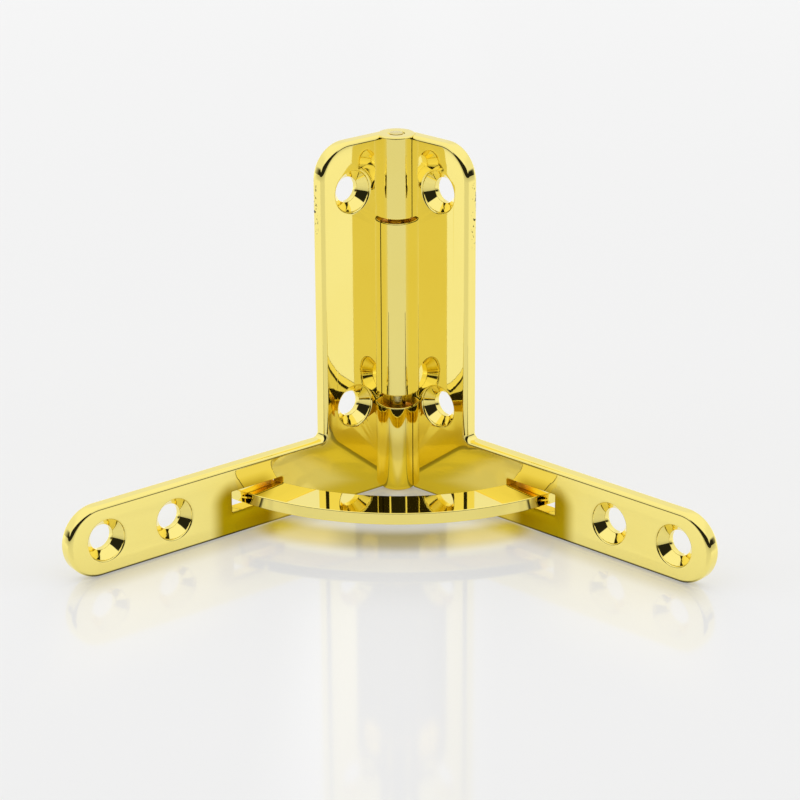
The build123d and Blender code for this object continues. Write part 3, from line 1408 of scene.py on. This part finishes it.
@dataclass
class Studio:
    """Camera, pale table and a white tent with a dark opening at the front.

    Lengths are in metres and angles in degrees. In the tent a height is a rise over the distance away, and a
    pair is where a soft edge begins and ends.
    """

    lens: float = 126.0
    sensor: float = 36.0
    pitch: float = 21.010
    yaw: float = -2.108
    roll: float = -0.287
    distance: float = 0.316381
    target: tuple[float, float, float] = (0.000264, 0.0, 0.01031)
    table_size: float = 6.0
    table_drop: float = 0.00002
    tent_level: float = 0.9
    ceiling_level: float = 1.0
    ceiling_heights: Span = (0.55, 0.85)
    opening_sides: Span = (1.55, 1.65)
    opening_heights: Span = (0.86, 0.94)
    gap_heights: Span = (0.17, 0.27)
    gap_sides: Span = (0.1, 0.3)
    darkness: float = 0.98
    least: float = 0.001

    def camera(self) -> None:
        """Stand the camera where the photograph was taken from."""
        pitch, yaw, roll = (math.radians(angle) for angle in (self.pitch, self.yaw, self.roll))
        ahead = Vector((math.sin(yaw) * math.cos(pitch), math.cos(yaw) * math.cos(pitch), -math.sin(pitch)))
        level = Vector((math.cos(yaw), -math.sin(yaw), 0.0))
        upright = level.cross(ahead)
        across = math.cos(roll) * level + math.sin(roll) * upright
        above = -math.sin(roll) * level + math.cos(roll) * upright
        lens = bpy.data.cameras.new("studio_camera")
        lens.sensor_fit = "HORIZONTAL"
        lens.sensor_width = self.sensor
        lens.lens = self.lens
        lens.clip_start = 0.01
        made = placed("studio_camera", lens)
        pose = Matrix((across, above, -ahead)).transposed().to_4x4()
        pose.translation = Vector(self.target) - ahead * self.distance
        made.matrix_world = pose
        bpy.context.scene.camera = made

    def table(self) -> None:
        """Lay a glossy table under the hinge."""
        half = self.table_size / 2
        skin = bmesh.new()
        corners = ((-half, -half), (half, -half), (half, half), (-half, half))
        skin.faces.new([skin.verts.new((x, y, -self.table_drop)) for x, y in corners])
        mesh = bpy.data.meshes.new("table")
        skin.to_mesh(mesh)
        skin.free()
        mesh.materials.append(TableFinish().make())
        made = placed("table", mesh)

    def tent(self) -> None:
        """Light the object from a white tent, which is dark only where it opens at the front."""
        world = bpy.data.worlds.new("tent")
        world.use_nodes = True
        bpy.context.scene.world = world
        sheet = NodeSheet(world.node_tree)
        way = sheet.add("ShaderNodeTexCoord").outputs["Generated"]
        x, y, z = sheet.add("ShaderNodeSeparateXYZ", {0: way}).outputs
        toward = sheet.maths("MAXIMUM", sheet.times(y, -1.0), self.least)
        opening = sheet.times(
            sheet.fall(sheet.maths("ABSOLUTE", sheet.maths("DIVIDE", x, toward)), *self.opening_sides),
            sheet.fall(sheet.maths("DIVIDE", z, toward), *self.opening_heights),
        )
        climb = sheet.maths("DIVIDE", z, sheet.maths("MAXIMUM", sheet.length(x, y), self.least))
        gap = sheet.times(sheet.fall(climb, *self.gap_heights), sheet.fall(y, *self.gap_sides))
        unseen = sheet.maths("SUBTRACT", 1.0, sheet.add("ShaderNodeLightPath").outputs["Is Camera Ray"])
        dark = sheet.times(sheet.maths("MAXIMUM", opening, gap), unseen, self.darkness)
        bright = sheet.ramp(climb, *self.ceiling_heights, self.tent_level, self.ceiling_level)
        background = world.node_tree.nodes["Background"]
        background.inputs["Color"].default_value = (1.0, 1.0, 1.0, 1.0)
        strength = sheet.times(bright, sheet.maths("SUBTRACT", 1.0, dark))
        sheet.tree.links.new(strength, background.inputs["Strength"])

    def build(self) -> None:
        """Set the stage."""
        self.camera()
        self.table()
        self.tent()
        bpy.context.scene.view_settings.view_transform = "Standard"


@dataclass
class BoxHinge:
    """The whole hinge."""

    sizes: HingeSizes = field(default_factory=HingeSizes)
    bore_end: float = 1.0

    def build(self) -> list[Object]:
        """Make every piece.

        Returns:
            The finished pieces.
        """
        effects = SharedEffects()
        gold, pin_gold = POLISHED_GOLD.make(effects), GOLD_PIN.make(effects)
        sizes = self.sizes
        top = sizes.plate_height
        knuckles = Knuckles(sizes)
        sweep = knuckles.recipe()
        spans = {
            Side.LEFT: [(0.0, sizes.lower_knuckle_top), (sizes.upper_knuckle_bottom, top)],
            Side.RIGHT: [(sizes.middle_knuckle_bottom, sizes.middle_knuckle_top)],
        }
        bore_radius = sizes.pin_radius + knuckles.bore_clearance
        low, high = self.bore_end, top - self.bore_end
        profile = [(0, low), (bore_radius, low), (bore_radius, high), (0, high)]
        bore_cutter = Shell().turned(profile, sizes.barrel_facets).finished("bore_cutter")
        screw = ScrewHoles(sizes).cutter()
        recipe = Leaf.recipe()
        pieces = []
        for side, other, node, body in (
            (Side.LEFT, Side.RIGHT, "left_leaf", "left_leaf_body"),
            (Side.RIGHT, Side.LEFT, "right_leaf", "right_leaf_body"),
        ):
            barrels = [
                knuckles.build(sweep, f"{node}_knuckle_{k}", bottom, upper, gold)
                for k, (bottom, upper) in enumerate(spans[side])
            ]
            leaf = Leaf(sizes, side, node, body, spans[other])
            pieces.append(leaf.build(recipe, barrels, bore_cutter, screw, gold))
            discard(*barrels)
        discard(bore_cutter, screw)
        pieces.append(Stay(sizes).build(gold))
        pieces.append(Pin(sizes).build(pin_gold))
        return pieces


def main() -> None:
    """Build the studio and the hinge."""
    logging.basicConfig(level=logging.INFO, format="%(name)s: %(message)s")
    Studio().build()
    for piece in BoxHinge().build():
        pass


if __name__ == "__main__":
    main()
